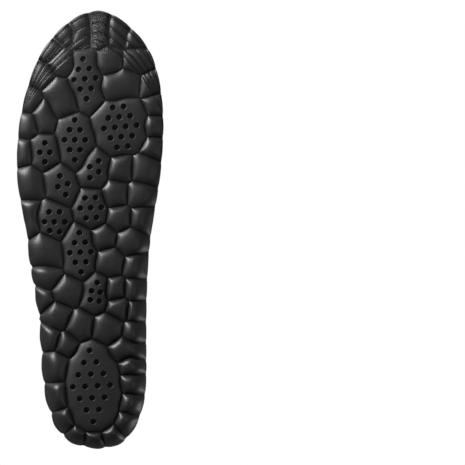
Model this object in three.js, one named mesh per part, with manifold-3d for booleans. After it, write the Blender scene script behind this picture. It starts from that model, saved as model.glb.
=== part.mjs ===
// Right-foot cushioned insole: knit cover, comfort foam and a cobbled sole moulding with
// perforated pads, divided along its natural flex lines so that it bends and rolls up.
// Millimetres, +Z up (cover side), +Y towards the toe, the inner (big toe) side at -X.
import * as THREE from "three";
import Module from "manifold-3d";

const wasm = await Module();
wasm.setup();
const { Manifold, Mesh } = wasm;

// Driving dimensions.
const LENGTH = 280;
const WIDTH = 93.4;
const COVER_THICKNESS = 0.8;
const FOAM_THICKNESS = 1.2;
const LAYER_GAP = 0.25; // between one layer and the next
const HINGE_GAP = 0.3; // between the ends of two segments
const GROOVE_WIDTH = 1.3; // between two cobbles
const PAD_GAP = 0.35; // between a pad, or a cobble crossing a flex line, and the moulding over it
const HOLE_DIAMETER = 3.2;
const BED_HEEL = 13.5; // cover height over the floor
const BED_BALL = 9.5;
const BED_TIP = 6.5;
const RIM_HEEL = 9; // rim height over the bed
const RIM_ARCH = 11;
const RIM_WAIST_OUTER = 5;
const CUP_WIDTH = 20; // how far the cupped edge reaches inwards
const EDGE_WIDTH = 10; // how far the underside curls up at the edge
const FINENESS = 0.05; // flats this close are merged
const WALL_INSET = 1.3; // the layers stop this far inside the outline; the cobbles bulge past them

const KX = WIDTH / 93.4;
const KY = LENGTH / 280;
const KR = Math.sqrt(KX * KY);

// Outline, toe to heel: [y, inner edge x, outer edge x].
const OUTLINE = [
  [140, -7, -3], [138, -14, 5], [134, -20.5, 12], [128, -27.5, 19.5], [120, -34.5, 26.5],
  [110, -40, 33], [96, -44, 38.5], [82, -46, 42.5], [66, -46.7, 45.5], [50, -46, 46.7],
  [34, -44.5, 46.7], [18, -42, 44.5], [0, -39, 41], [-18, -37, 38.5], [-36, -36, 35.5],
  [-56, -35.5, 32.5], [-76, -35.5, 31], [-94, -35.5, 30], [-108, -34.5, 28], [-118, -32, 25],
  [-126, -28.5, 21.5], [-133, -23.5, 16], [-137.5, -18, 9], [-140, -8, -2],
];

// Flex lines, heel to toe: [y, largest bend in degrees].
const FLEX_LINES = [
  [-70.4, 46], [-32, 46], [1.3, 42], [33.3, 58], [73.6, 50], [115.2, 58],
].map(([y, bend]) => ({ y: y * KY, bend }));

// Cobbles of each segment. A cobble is one or more circles [x, y, radius]; neighbours meet
// halfway between their circles.
const SEGMENTS = [
  { name: "heel", cobbles: [
    [[15.5, -72.5, 6]], [[24.5, -88.5, 9]], [[23, -107.5, 9]], [[18, -122, 7]], [[9, -133, 6]],
    [[-2.5, -135.5, 6.5]], [[-14, -133, 6.5]], [[-24.5, -125, 7]],
    [[-20, -76, 6], [-30, -77, 6]], [[-27.5, -87, 6]], [[-28, -99, 6.5]], [[-27.5, -111.5, 6.5]],
  ] },
  { name: "waist", cobbles: [
    [[14, -39.5, 9]], [[-16, -38, 6.5]], [[-29.5, -38.5, 7]], [[30.5, -45, 6]],
    [[21, -55.5, 8.5]], [[-18.5, -50.5, 6.5]], [[-30.5, -52, 7]], [[6.5, -61.5, 8.5]],
    [[-11, -63.5, 9]], [[-29.5, -66, 7.5]], [[27, -69, 7.5]],
  ] },
  { name: "arch", cobbles: [
    [[29, -12, 8.5], [23.5, -17.5, 6]], [[-9, -5, 7.5]], [[-26, -7.5, 8.5]],
    [[-13, -20.5, 8.5]], [[-29.5, -23.5, 7.5]], [[26, -30.5, 6.5]],
  ] },
  { name: "ball_rear", cobbles: [
    [[39, 29.5, 9.5]], [[-16.5, 23, 7.5]], [[-32, 22.5, 7.5]],
    [[39.5, 13, 4.5], [38.5, 3, 4.5]], [[-19, 7, 7.5]], [[-33.5, 6.5, 7.5]],
  ] },
  { name: "ball_front", cobbles: [
    [[30.5, 77, 5], [29, 70, 6]], [[40.5, 67, 6.5]], [[-41.5, 66, 6]], [[-41.5, 52, 7]],
    [[43.5, 49.5, 6.5]], [[-20, 39, 7.5]], [[-36, 38.5, 9]],
  ] },
  { name: "toe", cobbles: [
    [[18, 107, 7.5]], [[30.5, 98.5, 7]], [[-13, 108, 8.5]], [[-30, 108, 9]],
    [[21, 89, 7.5], [16.5, 80.5, 8.5]], [[38, 82.5, 6.5]],
    [[-16, 92, 8.5], [-24.5, 94.5, 9]], [[-37, 93.5, 6.5]], [[-41.5, 79.5, 5]],
  ] },
  { name: "tip", cobbles: [
    [[-6.5, 134.5, 6], [-6.5, 123, 6]], [[6, 132, 6], [5, 123, 6]], [[16, 125.5, 6]],
    [[25.5, 115, 6.5]], [[-18.5, 132, 6], [-18, 123, 6]], [[-29.5, 121.5, 7]],
  ] },
];

// Perforated pads. Holes stand in rows, toe to heel, `pitch` apart, turned about `at`.
const PADS = [
  { name: "pad_heel", segment: "heel",
    circles: [[-1.5, -81.5, 9.5], [-1.5, -93, 16], [-2, -105, 17.5], [-2.5, -116, 14]],
    at: [-1, -100], rows: [1, 2, 3, 4, 3, 2, 1], pitch: [8, 7.6], turn: -3 },
  { name: "pad_waist", segment: "waist",
    circles: [[-4.5, -36.5, 7], [-2.5, -45.5, 7]],
    at: [-4, -39.5], rows: [1, 2, 2], pitch: [5.8, 5.8], turn: 8 },
  { name: "pad_arch", segment: "arch",
    circles: [[7.5, -7, 9], [6.5, -16.5, 10], [6.5, -24.5, 7]],
    at: [6.1, -14.4], rows: [1, 2, 3, 2, 1], pitch: [6.8, 6.3], turn: -2.5 },
  { name: "pad_outer_rear", segment: "ball_rear",
    circles: [[23.5, 8.5, 9], [22.5, 1.5, 7.5]],
    at: [22.7, 5.1], rows: [2, 3, 2], pitch: [6.7, 6.4], turn: 0 },
  { name: "pad_centre", segment: "ball_rear",
    circles: [[0, 17.5, 9], [-1.5, 10, 8.5]],
    at: [-0.6, 14.1], rows: [2, 3, 2], pitch: [6.7, 6.4], turn: -3 },
  { name: "pad_outer_mid", segment: "ball_rear",
    circles: [[20.5, 32.5, 9], [16.5, 25, 8.5]],
    at: [17.3, 28.5], rows: [1, 2, 1], pitch: [6.6, 6.3], turn: -17 },
  { name: "pad_ball_rear", segment: "ball_front",
    circles: [[-4.5, 43, 7.5], [-1.5, 34, 7.5]],
    at: [-2.9, 38.7], rows: [1, 2, 1], pitch: [6.6, 6.1], turn: 28 },
  { name: "pad_outer_front", segment: "ball_front",
    circles: [[30, 52, 7.5], [28, 45, 7]],
    at: [28.8, 49.6], rows: [1, 2, 1], pitch: [6.4, 6.1], turn: 0 },
  { name: "pad_ball_outer", segment: "ball_front",
    circles: [[11, 65.5, 9], [8.5, 55, 10], [10, 46.5, 6.5]],
    at: [9.6, 57.6], rows: [1, 2, 3, 2, 1], pitch: [6.7, 6.4], turn: 0 },
  { name: "pad_ball_inner", segment: "ball_front",
    circles: [[-14, 71, 11], [-24.5, 73, 11], [-24.5, 61.5, 11], [-16, 58, 10]],
    at: [-19.5, 65.9], rows: [2, 3, 4, 3, 2], pitch: [7, 6.4], turn: -6 },
  { name: "pad_toe", segment: "toe",
    circles: [[3, 107.5, 7.5], [2.5, 96, 10], [0.5, 84.5, 8.5]],
    at: [3.2, 96.6], rows: [1, 2, 3, 2, 1], pitch: [7, 6.4], turn: -5 },
];

const COLOURS = {
  cover: { color: 0x1c1c1e, roughness: 0.95, metalness: 0 },
  foam: { color: 0x55585c, roughness: 0.9, metalness: 0 },
  cushion: { color: 0x131314, roughness: 0.45, metalness: 0 },
  pad: { color: 0x232325, roughness: 0.7, metalness: 0 },
};

// Straight-line value between the rows of a table of [y, value].
function along(table, y) {
  const v = y / KY;
  if (v <= table[0][0]) return table[0][1];
  for (let i = 1; i < table.length; i++) {
    const [y0, a] = table[i - 1];
    const [y1, b] = table[i];
    if (v <= y1) return a + ((b - a) * (v - y0)) / (y1 - y0);
  }
  return table[table.length - 1][1];
}

function smooth(t) {
  const c = Math.min(1, Math.max(0, t));
  return c * c * (3 - 2 * c);
}

// Closed outline as points, anticlockwise from above, drawn in by `inset`.
function outlinePoints(inset) {
  const inner = OUTLINE.map(([y, x]) => new THREE.Vector3(x * KX, y * KY, 0));
  const outer = OUTLINE.map(([y, , x]) => new THREE.Vector3(x * KX, y * KY, 0)).reverse();
  const curve = new THREE.CatmullRomCurve3([...inner, ...outer], true, "catmullrom", 0.5);
  const points = curve.getPoints(192).slice(0, 192);
  return points.map((p, i) => {
    const a = points[(i + 191) % 192];
    const b = points[(i + 1) % 192];
    const t = b.clone().sub(a).normalize();
    return [p.x - t.y * inset, p.y + t.x * inset];
  });
}

const EDGE = outlinePoints(0);
const LAYER_EDGE = outlinePoints(WALL_INSET);

// Where a line of constant y crosses a closed outline: [smallest x, largest x].
function span(edge, y) {
  const xs = [];
  edge.forEach(([x0, y0], i) => {
    const [x1, y1] = edge[(i + 1) % edge.length];
    if (y0 <= y !== y1 <= y) xs.push(x0 + ((x1 - x0) * (y - y0)) / (y1 - y0));
  });
  return [Math.min(...xs), Math.max(...xs)];
}

// Distance inwards from the outline; negative outside it.
function depthInside(x, y) {
  let best = Infinity;
  let inside = false;
  EDGE.forEach(([x0, y0], i) => {
    const [x1, y1] = EDGE[(i + 1) % EDGE.length];
    const dx = x1 - x0;
    const dy = y1 - y0;
    const t = Math.min(1, Math.max(0, ((x - x0) * dx + (y - y0) * dy) / (dx * dx + dy * dy)));
    best = Math.min(best, Math.hypot(x - x0 - t * dx, y - y0 - t * dy));
    if (y0 <= y !== y1 <= y && x < x0 + ((x1 - x0) * (y - y0)) / (y1 - y0)) inside = !inside;
  });
  return inside ? best : -best;
}

const BED = [
  [-140, BED_HEEL], [-60, BED_HEEL], [-20, BED_HEEL - 1], [20, BED_BALL + 1], [60, BED_BALL],
  [100, BED_BALL - 1.5], [125, BED_TIP + 0.2], [140, BED_TIP],
];
const RIM_INNER = [
  [-140, RIM_HEEL], [-110, RIM_HEEL + 0.5], [-60, RIM_ARCH], [-30, RIM_ARCH],
  [10, RIM_ARCH * 0.6], [40, 1.5], [60, 0],
];
const RIM_OUTER = [
  [-140, RIM_HEEL], [-110, RIM_HEEL], [-60, RIM_WAIST_OUTER], [-20, RIM_WAIST_OUTER * 0.4], [10, 0],
];
const LIFT_INNER = [
  [-140, 9], [-110, 9], [-60, 11], [-30, 10.5], [10, 7], [40, 2.6], [100, 1.6], [125, 0.8], [140, 0.6],
];
const LIFT_OUTER = [
  [-140, 9], [-110, 8.5], [-60, 5], [-20, 3], [30, 2.6], [100, 1.6], [125, 0.8], [140, 0.6],
];
const GROOVE_DEPTH = [
  [-140, 4.5], [-60, 4.5], [0, 4], [60, 3.4], [100, 2.6], [118, 1.5], [140, 1.3],
];

// 1 on the inner side, 0 on the outer side.
function innerShare(x, y) {
  const [a, b] = span(EDGE, Math.max(EDGE_LOW, Math.min(EDGE_HIGH, y)));
  const across = (x - (a + b) / 2) / Math.max(1, (b - a) / 2);
  return smooth(0.5 - across);
}

const EDGE_LOW = Math.min(...EDGE.map((p) => p[1])) + 0.5;
const EDGE_HIGH = Math.max(...EDGE.map((p) => p[1])) - 0.5;

function mixed(inner, outer, x, y) {
  const m = innerShare(x, y);
  return along(inner, y) * m + along(outer, y) * (1 - m);
}

// Top of the cover.
function topZ(x, y) {
  const s = Math.max(0, depthInside(x, y));
  const cup = Math.max(0, 1 - s / CUP_WIDTH);
  return along(BED, y) + mixed(RIM_INNER, RIM_OUTER, x, y) * cup * cup;
}

// Underside of the cobbles.
function soleZ(x, y) {
  const s = Math.max(0, depthInside(x, y));
  const curl = Math.max(0, 1 - s / EDGE_WIDTH);
  return mixed(LIFT_INNER, LIFT_OUTER, x, y) * curl * curl;
}

function foamTopZ(x, y) {
  return topZ(x, y) - COVER_THICKNESS - LAYER_GAP;
}

function mouldTopZ(x, y) {
  return foamTopZ(x, y) - FOAM_THICKNESS - LAYER_GAP;
}

function grooveZ(x, y) {
  return soleZ(x, y) + along(GROOVE_DEPTH, y);
}

function solidOf(positions, triangles) {
  return new Manifold(
    new Mesh({
      numProp: 3,
      vertProperties: new Float32Array(positions),
      triVerts: new Uint32Array(triangles),
    }),
  );
}

// A closed solid through rings of points, top ring first, each anticlockwise from above.
function ringSolid(rings) {
  const n = rings[0].length;
  const positions = rings.flat(2);
  const triangles = [];
  const middle = (ring) => [0, 1, 2].map((k) => ring.reduce((sum, p) => sum + p[k], 0) / n);
  positions.push(...middle(rings[0]), ...middle(rings[rings.length - 1]));
  const top = n * rings.length;
  for (let i = 0; i < n; i++) {
    const j = (i + 1) % n;
    triangles.push(top, i, j);
    triangles.push(top + 1, top - n + j, top - n + i);
    for (let r = 0; r + 1 < rings.length; r++) {
      const a = r * n;
      triangles.push(a + i, a + n + i, a + n + j);
      triangles.push(a + i, a + n + j, a + j);
    }
  }
  return solidOf(positions, triangles);
}

// A sheet over the whole foot between two height functions, on rows across the foot.
function layerSolid(top, bottom) {
  const low = Math.min(...LAYER_EDGE.map((p) => p[1])) + 0.4;
  const high = Math.max(...LAYER_EDGE.map((p) => p[1])) - 0.4;
  const offsets = [0, 2.6, 5.2, 7.8, 10.6, 15.5, 20];
  const rows = [low, low + 2.5, low + 6, low + 11];
  for (let y = low + 19; y < high - 12; y += 10.5 * KY) rows.push(y);
  rows.push(high - 6, high - 2.5, high);
  const columns = 2 * offsets.length;
  const upper = [];
  const lower = [];
  for (const y of rows) {
    const [a, b] = span(LAYER_EDGE, y);
    const fit = Math.min(1, (b - a) / 2 / 22);
    const left = offsets.map((o) => a + o * fit);
    const right = offsets.map((o) => b - o * fit).reverse();
    for (const x of [...left, ...right]) {
      upper.push(x, y, top(x, y));
      lower.push(x, y, bottom(x, y));
    }
  }
  const count = rows.length * columns;
  const triangles = [];
  const wall = (p, q) => triangles.push(p, p + count, q + count, p, q + count, q);
  for (let r = 0; r + 1 < rows.length; r++) {
    for (let c = 0; c + 1 < columns; c++) {
      const p = r * columns + c;
      const q = p + columns;
      triangles.push(p, p + 1, q + 1, p, q + 1, q);
      triangles.push(p + count, q + 1 + count, p + 1 + count, p + count, q + count, q + 1 + count);
    }
    wall((r + 1) * columns, r * columns);
    wall(r * columns + columns - 1, (r + 2) * columns - 1);
  }
  for (let c = 0; c + 1 < columns; c++) {
    wall(c, c + 1);
    wall(count - columns + c + 1, count - columns + c);
  }
  return solidOf([...upper, ...lower], triangles);
}

// A prism across the foot whose section is a convex or concave polygon of [y, z], anticlockwise
// seen from the inner side looking outwards.
function crossPrism(section) {
  const shape = new THREE.Shape(section.map(([y, z]) => new THREE.Vector2(y, z)));
  const g = new THREE.ExtrudeGeometry(shape, { depth: 2 * WIDTH, bevelEnabled: false });
  const p = g.getAttribute("position");
  const found = new Map();
  const positions = [];
  const index = [];
  for (let i = 0; i < p.count; i++) {
    const point = [p.getZ(i) - WIDTH, p.getX(i), p.getY(i)];
    const key = point.map((v) => v.toFixed(4)).join();
    if (!found.has(key)) {
      found.set(key, found.size);
      positions.push(...point);
    }
    index.push(found.get(key));
  }
  return solidOf(positions, index);
}

// Each segment's space: `slab` for the stacked layers, `lobe` for cobbles, which may cross a
// flex line below the pivot. Above the pivots both open into a V of the full bend.
function segmentSpaces() {
  const half = HINGE_GAP / 2;
  const tall = 14;
  return SEGMENTS.map((segment, i) => {
    const back = FLEX_LINES[i - 1];
    const front = FLEX_LINES[i];
    const lean = (line) => Math.tan(((line.bend / 2 + 1) * Math.PI) / 180);
    const slab = [];
    const lobe = [];
    if (back) {
      const z = along(BED, back.y);
      const top = [back.y + half + tall * lean(back), z + tall];
      slab.push([back.y + half, -5], [back.y + half, z], top);
      lobe.push([back.y - 40, -5], [back.y - 40, z - 0.6], [back.y + half, z - 0.6]);
      lobe.push([back.y + half, z], top);
    } else {
      slab.push([-LENGTH, -5], [-LENGTH, 3 * tall]);
      lobe.push([-LENGTH, -5], [-LENGTH, 3 * tall]);
    }
    if (front) {
      const z = along(BED, front.y);
      const top = [front.y - half - tall * lean(front), z + tall];
      const reach = (0.9 * (z + 5)) / lean(front);
      slab.push(top, [front.y - half, z], [front.y - half, -5]);
      lobe.push(top, [front.y - half, z], [front.y - half + reach, -5]);
    } else {
      slab.push([LENGTH, 3 * tall], [LENGTH, -5]);
      lobe.push([LENGTH, 3 * tall], [LENGTH, -5]);
    }
    return { slab: crossPrism(slab.reverse()), lobe: crossPrism(lobe.reverse()) };
  });
}

const scaled = ([x, y, r]) => ({ x: x * KX, y: y * KY, r: r * KR });
const CELLS = [];
SEGMENTS.forEach((segment) => {
  segment.cobbles.forEach((c) => CELLS.push({ segment: segment.name, circles: c.map(scaled) }));
});
PADS.forEach((pad) => {
  CELLS.push({ segment: pad.segment, pad, circles: pad.circles.map(scaled) });
});

// The cell that owns a point: the one whose circle's edge is nearest, by power distance.
function ownerAt(x, y) {
  let best = Infinity;
  let owner = null;
  for (const cell of CELLS) {
    for (const c of cell.circles) {
      const d = (x - c.x) ** 2 + (y - c.y) ** 2 - c.r ** 2;
      if (d < best) {
        best = d;
        owner = cell;
      }
    }
  }
  return owner;
}

// How far a cell reaches from its middle in each of `n` directions, less half the groove.
function cellReach(cell, n) {
  const x = cell.circles.reduce((s, c) => s + c.x, 0) / cell.circles.length;
  const y = cell.circles.reduce((s, c) => s + c.y, 0) / cell.circles.length;
  const reach = [];
  for (let i = 0; i < n; i++) {
    const a = (2 * Math.PI * i) / n;
    let r = 1;
    const inside = (d) => depthInside(x + d * Math.cos(a), y + d * Math.sin(a)) > 0;
    const own = (d) => ownerAt(x + d * Math.cos(a), y + d * Math.sin(a)) === cell;
    while (r < 60 && inside(r) && own(r)) r += 0.2;
    reach.push(inside(r) ? r - 0.2 - GROOVE_WIDTH / 2 : r - 0.2);
  }
  const eased = reach.map((r, i) => {
    const around = (reach[(i + n - 1) % n] + 2 * r + reach[(i + 1) % n]) / 4;
    return Math.min(r, around);
  });
  return { x, y, reach: eased };
}

// A ring of points around a cell, drawn in by `inset`, at the height z(x, y).
function cellRing({ x, y, reach }, inset, z) {
  return reach.map((r, i) => {
    const a = (2 * Math.PI * i) / reach.length;
    const d = Math.max(r * 0.25, r - inset);
    const px = x + d * Math.cos(a);
    const py = y + d * Math.sin(a);
    return [px, py, z(px, py)];
  });
}

// A rounded cobble from the height function `top` down to the sole.
function cobbleSolid(cell, top, flat) {
  const shape = cellReach(cell, 12);
  const part = (share) => (x, y) => soleZ(x, y) + share * along(GROOVE_DEPTH, y);
  if (flat) {
    return ringSolid([
      cellRing(shape, 0, top),
      cellRing(shape, 0, part(0.35)),
      cellRing(shape, 1.6, part(0)),
    ]);
  }
  return ringSolid([
    cellRing(shape, 6, top),
    cellRing(shape, 2.5, top),
    cellRing(shape, 0, top),
    cellRing(shape, 0, part(0.5)),
    cellRing(shape, 1.8, part(0.12)),
    cellRing(shape, 4.5, part(0)),
  ]);
}

function holeCentres({ at, rows, pitch, turn }) {
  const a = (turn * Math.PI) / 180;
  const centres = [];
  rows.forEach((count, row) => {
    const v = ((rows.length - 1) / 2 - row) * pitch[1];
    for (let k = 0; k < count; k++) {
      const u = (k - (count - 1) / 2) * pitch[0];
      const x = at[0] + u * Math.cos(a) - v * Math.sin(a);
      const y = at[1] + u * Math.sin(a) + v * Math.cos(a);
      centres.push([x * KX, y * KY]);
    }
  });
  return centres;
}

function holeSolid([x, y]) {
  const ring = (z) => {
    return [0, 1, 2, 3, 4, 5, 6, 7].map((i) => {
      const a = (Math.PI * (2 * i + 1)) / 8;
      return [x + (HOLE_DIAMETER / 2) * Math.cos(a), y + (HOLE_DIAMETER / 2) * Math.sin(a), z];
    });
  };
  return ringSolid([ring(20), ring(-2)]);
}

function largestBody(solid) {
  return solid.decompose().sort((a, b) => b.volume() - a.volume())[0];
}

function padSolid(cell, space) {
  const under = (x, y) => grooveZ(x, y) - PAD_GAP;
  const holes = holeCentres(cell.pad).map(holeSolid);
  return largestBody(cobbleSolid(cell, under, true).intersect(space.lobe).subtract(Manifold.union(holes)));
}

function cushionSolid(moulding, segment, space) {
  const through = (x, y) => mouldTopZ(x, y) - 0.5;
  const under = (x, y) => grooveZ(x, y) - PAD_GAP;
  let made = moulding.intersect(space.slab);
  for (const cell of CELLS.filter((c) => c.segment === segment.name && !c.pad)) {
    made = made.add(cobbleSolid(cell, through, false).intersect(space.slab));
    made = made.add(cobbleSolid(cell, under, false).intersect(space.lobe));
  }
  return largestBody(made.simplify(FINENESS));
}

function meshOf(name, solid, look) {
  const m = solid.getMesh();
  const positions = new Float32Array(m.numVert * 3);
  for (let i = 0; i < m.numVert; i++) {
    positions.set(m.vertProperties.subarray(i * m.numProp, i * m.numProp + 3), i * 3);
  }
  const g = new THREE.BufferGeometry();
  g.setAttribute("position", new THREE.BufferAttribute(positions, 3));
  g.setIndex(new THREE.BufferAttribute(m.triVerts, 1));
  g.computeVertexNormals();
  const mesh = new THREE.Mesh(g, new THREE.MeshStandardMaterial(look));
  mesh.name = name;
  return mesh;
}

function buildInsole() {
  const group = new THREE.Group();
  group.name = "insole";
  const spaces = segmentSpaces();
  const cover = layerSolid(topZ, (x, y) => topZ(x, y) - COVER_THICKNESS);
  const foam = layerSolid(foamTopZ, (x, y) => foamTopZ(x, y) - FOAM_THICKNESS);
  const moulding = layerSolid(mouldTopZ, grooveZ);
  SEGMENTS.forEach((segment, i) => {
    const space = spaces[i];
    const put = (kind, solid) => group.add(meshOf(`${kind}_${segment.name}`, solid, COLOURS[kind]));
    put("cover", cover.intersect(space.slab).simplify(FINENESS));
    put("foam", foam.intersect(space.slab).simplify(FINENESS));
    put("cushion", cushionSolid(moulding, segment, space));
    for (const cell of CELLS.filter((c) => c.segment === segment.name && c.pad)) {
      group.add(meshOf(cell.pad.name, padSolid(cell, space), COLOURS.pad));
    }
  });
  return group;
}

export default buildInsole();
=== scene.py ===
import math

import bpy
import numpy as np
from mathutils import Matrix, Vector
from mathutils.geometry import delaunay_2d_cdt


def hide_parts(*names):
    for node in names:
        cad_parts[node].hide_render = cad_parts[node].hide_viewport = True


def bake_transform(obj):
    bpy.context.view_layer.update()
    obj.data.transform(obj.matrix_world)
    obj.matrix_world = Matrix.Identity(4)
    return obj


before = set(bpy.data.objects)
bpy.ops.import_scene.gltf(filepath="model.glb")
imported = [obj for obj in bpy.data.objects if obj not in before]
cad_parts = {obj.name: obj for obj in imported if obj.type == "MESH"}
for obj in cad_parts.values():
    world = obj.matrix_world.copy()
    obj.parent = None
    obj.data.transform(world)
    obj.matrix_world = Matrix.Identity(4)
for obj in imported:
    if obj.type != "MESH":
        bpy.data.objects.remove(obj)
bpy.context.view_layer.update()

MM = 0.001

COVER, FOAM = 0.8, 1.4  # layer thicknesses
CUP_WIDTH = 20.0  # the bed rises to its rim over this width
EDGE_WIDTH = 10.0  # the sole lifts towards the outline over this width
GROOVE = 0.02  # gap between two cells at their border
BED_HEEL, BED_BALL, BED_TIP = 13.5, 9.5, 6.5
RIM_HEEL, RIM_ARCH, RIM_OUTER = 9.0, 11.0, 5.0

OUTLINE = [
    (140, -7, -3), (138, -14, 5), (134, -20.5, 12), (128, -27.5, 19.5), (120, -34.5, 26.5),
    (110, -40, 33), (96, -44, 38.5), (82, -46, 42.5), (66, -46.7, 45.5), (50, -46, 46.7),
    (34, -44.5, 46.7), (18, -42, 44.5), (0, -39, 41), (-18, -37, 38.5), (-36, -36, 35.5),
    (-56, -35.5, 32.5), (-76, -35.5, 31), (-94, -35.5, 30), (-108, -34.5, 28), (-118, -32, 25),
    (-126, -28.5, 21.5), (-133, -23.5, 16), (-137.5, -18, 9), (-140, -8, -2),
]
BED = [(-140, BED_HEEL), (-60, BED_HEEL), (-20, BED_HEEL - 1), (20, BED_BALL + 1),
       (60, BED_BALL), (100, BED_BALL - 1.5), (125, BED_TIP + 0.2), (140, BED_TIP)]
RIM_IN = [(-140, RIM_HEEL), (-110, RIM_HEEL + 0.5), (-60, RIM_ARCH), (-30, RIM_ARCH),
          (10, RIM_ARCH * 0.6), (40, 1.5), (60, 0)]
RIM_OUT = [(-140, RIM_HEEL), (-110, RIM_HEEL), (-60, RIM_OUTER), (-20, RIM_OUTER * 0.4), (10, 0)]
LIFT_IN = [(-140, 9), (-110, 9), (-60, 11), (-30, 10.5), (10, 7), (40, 2.6), (100, 1.6),
           (125, 0.8), (140, 0.6)]
LIFT_OUT = [(-140, 9), (-110, 8.5), (-60, 5), (-20, 3), (30, 2.6), (100, 1.6), (125, 0.8),
            (140, 0.6)]
GROOVE_DEPTH = [(-140, 4.5), (-60, 4.5), (0, 4), (60, 3.4), (100, 2.6), (118, 1.5), (140, 1.3)]
# Depth of the creases under the tops of the cobbles, heel to toe.
CREASE_DEPTH = [(-140, 3.6), (-60, 3.3), (0, 2.9), (60, 2.5), (100, 2.1), (118, 1.8), (140, 1.6)]

# Flex lines, and the lines where the flexing pieces meet, halfway between them.
HINGES = [-70.4, -32, 1.3, 33.3, 73.6, 115.2]
SEGMENTS = ["heel", "waist", "arch", "ball_rear", "ball_front", "toe", "tip"]
MEETS = [-160.0] + [(a + b) / 2 for a, b in zip(HINGES, HINGES[1:])] + [160.0]

COBBLES = [
    [(15.5, -72.5, 6)], [(24.5, -88.5, 9)], [(23, -107.5, 9)], [(18, -122, 7)],
    [(9, -133, 6)], [(-2.5, -135.5, 6.5)], [(-14, -133, 6.5)], [(-24.5, -125, 7)],
    [(-20, -76, 6), (-30, -77, 6)], [(-27.5, -87, 6)], [(-28, -99, 6.5)], [(-27.5, -111.5, 6.5)],
    [(14, -39.5, 9)], [(-16, -38, 6.5)], [(-29.5, -38.5, 7)], [(30.5, -45, 6)],
    [(21, -55.5, 8.5)], [(-18.5, -50.5, 6.5)], [(-30.5, -52, 7)], [(6.5, -61.5, 8.5)],
    [(-11, -63.5, 9)], [(-29.5, -66, 7.5)], [(27, -69, 7.5)],
    [(29, -12, 8.5), (23.5, -17.5, 6)], [(-9, -5, 7.5)], [(-26, -7.5, 8.5)],
    [(-13, -20.5, 8.5)], [(-29.5, -23.5, 7.5)], [(26, -30.5, 6.5)],
    [(39, 29.5, 9.5)], [(-16.5, 23, 7.5)], [(-32, 22.5, 7.5)],
    [(39.5, 13, 4.5), (38.5, 3, 4.5)], [(-19, 7, 7.5)], [(-33.5, 6.5, 7.5)],
    [(30.5, 77, 5), (29, 70, 6)], [(40.5, 67, 6.5)], [(-41.5, 66, 6)], [(-41.5, 52, 7)],
    [(43.5, 49.5, 6.5)], [(-20, 39, 7.5)], [(-36, 38.5, 9)],
    [(18, 107, 7.5)], [(30.5, 98.5, 7)], [(-13, 108, 8.5)], [(-30, 108, 9)],
    [(21, 89, 7.5), (16.5, 80.5, 8.5)], [(38, 82.5, 6.5)],
    [(-16, 92, 8.5), (-24.5, 94.5, 9)], [(-37, 93.5, 6.5)], [(-41.5, 79.5, 5)],
    [(-6.5, 134.5, 6), (-6.5, 123, 6)], [(6, 132, 6), (5, 123, 6)], [(16, 125.5, 6)],
    [(25.5, 115, 6.5)], [(-18.5, 132, 6), (-18, 123, 6)], [(-29.5, 121.5, 7)],
]
# Pads: name, circles, middle of the holes, holes in each row, pitch across and along, turn.
PADS = [
    ("pad_heel", [(-1.5, -81.5, 9.5), (-1.5, -93, 16), (-2, -105, 17.5), (-2.5, -116, 14)],
     (-1, -100), (1, 2, 3, 4, 3, 2, 1), (8, 7.6), -3),
    ("pad_waist", [(-4.5, -36.5, 7), (-2.5, -45.5, 7)], (-4, -39.5), (1, 2, 2), (5.8, 5.8), 8),
    ("pad_arch", [(7.5, -7, 9), (6.5, -16.5, 10), (6.5, -24.5, 7)],
     (6.1, -14.4), (1, 2, 3, 2, 1), (6.8, 6.3), -2.5),
    ("pad_outer_rear", [(23.5, 8.5, 9), (22.5, 1.5, 7.5)], (22.7, 5.1), (2, 3, 2), (6.7, 6.4), 0),
    ("pad_centre", [(0, 17.5, 9), (-1.5, 10, 8.5)], (-0.6, 14.1), (2, 3, 2), (6.7, 6.4), -3),
    ("pad_outer_mid", [(20.5, 32.5, 9), (16.5, 25, 8.5)], (17.3, 28.5), (1, 2, 1), (6.6, 6.3), -17),
    ("pad_ball_rear", [(-4.5, 43, 7.5), (-1.5, 34, 7.5)], (-2.9, 38.7), (1, 2, 1), (6.6, 6.1), 28),
    ("pad_outer_front", [(30, 52, 7.5), (28, 45, 7)], (28.8, 49.6), (1, 2, 1), (6.4, 6.1), 0),
    ("pad_ball_outer", [(11, 65.5, 9), (8.5, 55, 10), (10, 46.5, 6.5)],
     (9.6, 57.6), (1, 2, 3, 2, 1), (6.7, 6.4), 0),
    ("pad_ball_inner", [(-14, 71, 11), (-24.5, 73, 11), (-24.5, 61.5, 11), (-16, 58, 10)],
     (-19.5, 65.9), (2, 3, 4, 3, 2), (7, 6.4), -6),
    ("pad_toe", [(3, 107.5, 7.5), (2.5, 96, 10), (0.5, 84.5, 8.5)],
     (3.2, 96.6), (1, 2, 3, 2, 1), (7, 6.4), -5),
]
HOLE_R = 1.7
HOLE_DEPTH = 5.0
HOLE_MARGIN = 0.75  # least distance from a hole to the border rings of its pad
MOUTH = 0.35  # width of the rounded edge of a hole
MOUTH_RINGS = (HOLE_R + 0.6, HOLE_R + MOUTH, HOLE_R + 0.15)
PAD_RINGS = (1.3, 1.0, 0.75, 0.5, 0.33, 0.2, 0.1, 0.03, 0)  # distances from a pad's border

MELT = 26.0  # how softly the circles of one cell run together, mm2
EDGE_EXTRA = 2.5  # the outline counts as a border this far outside itself
DOME = 1.35  # fullness of a cobble: 1 is a cone, 2 a paraboloid
PAD_DOME = 0.75  # share of the dome that a flat pad keeps
BORDER_R, BORDER_DROP = 0.3, 0.08  # rounding at the border of a cell
LIP = 1.6  # smooth band of the moulding over the lobes

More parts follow.
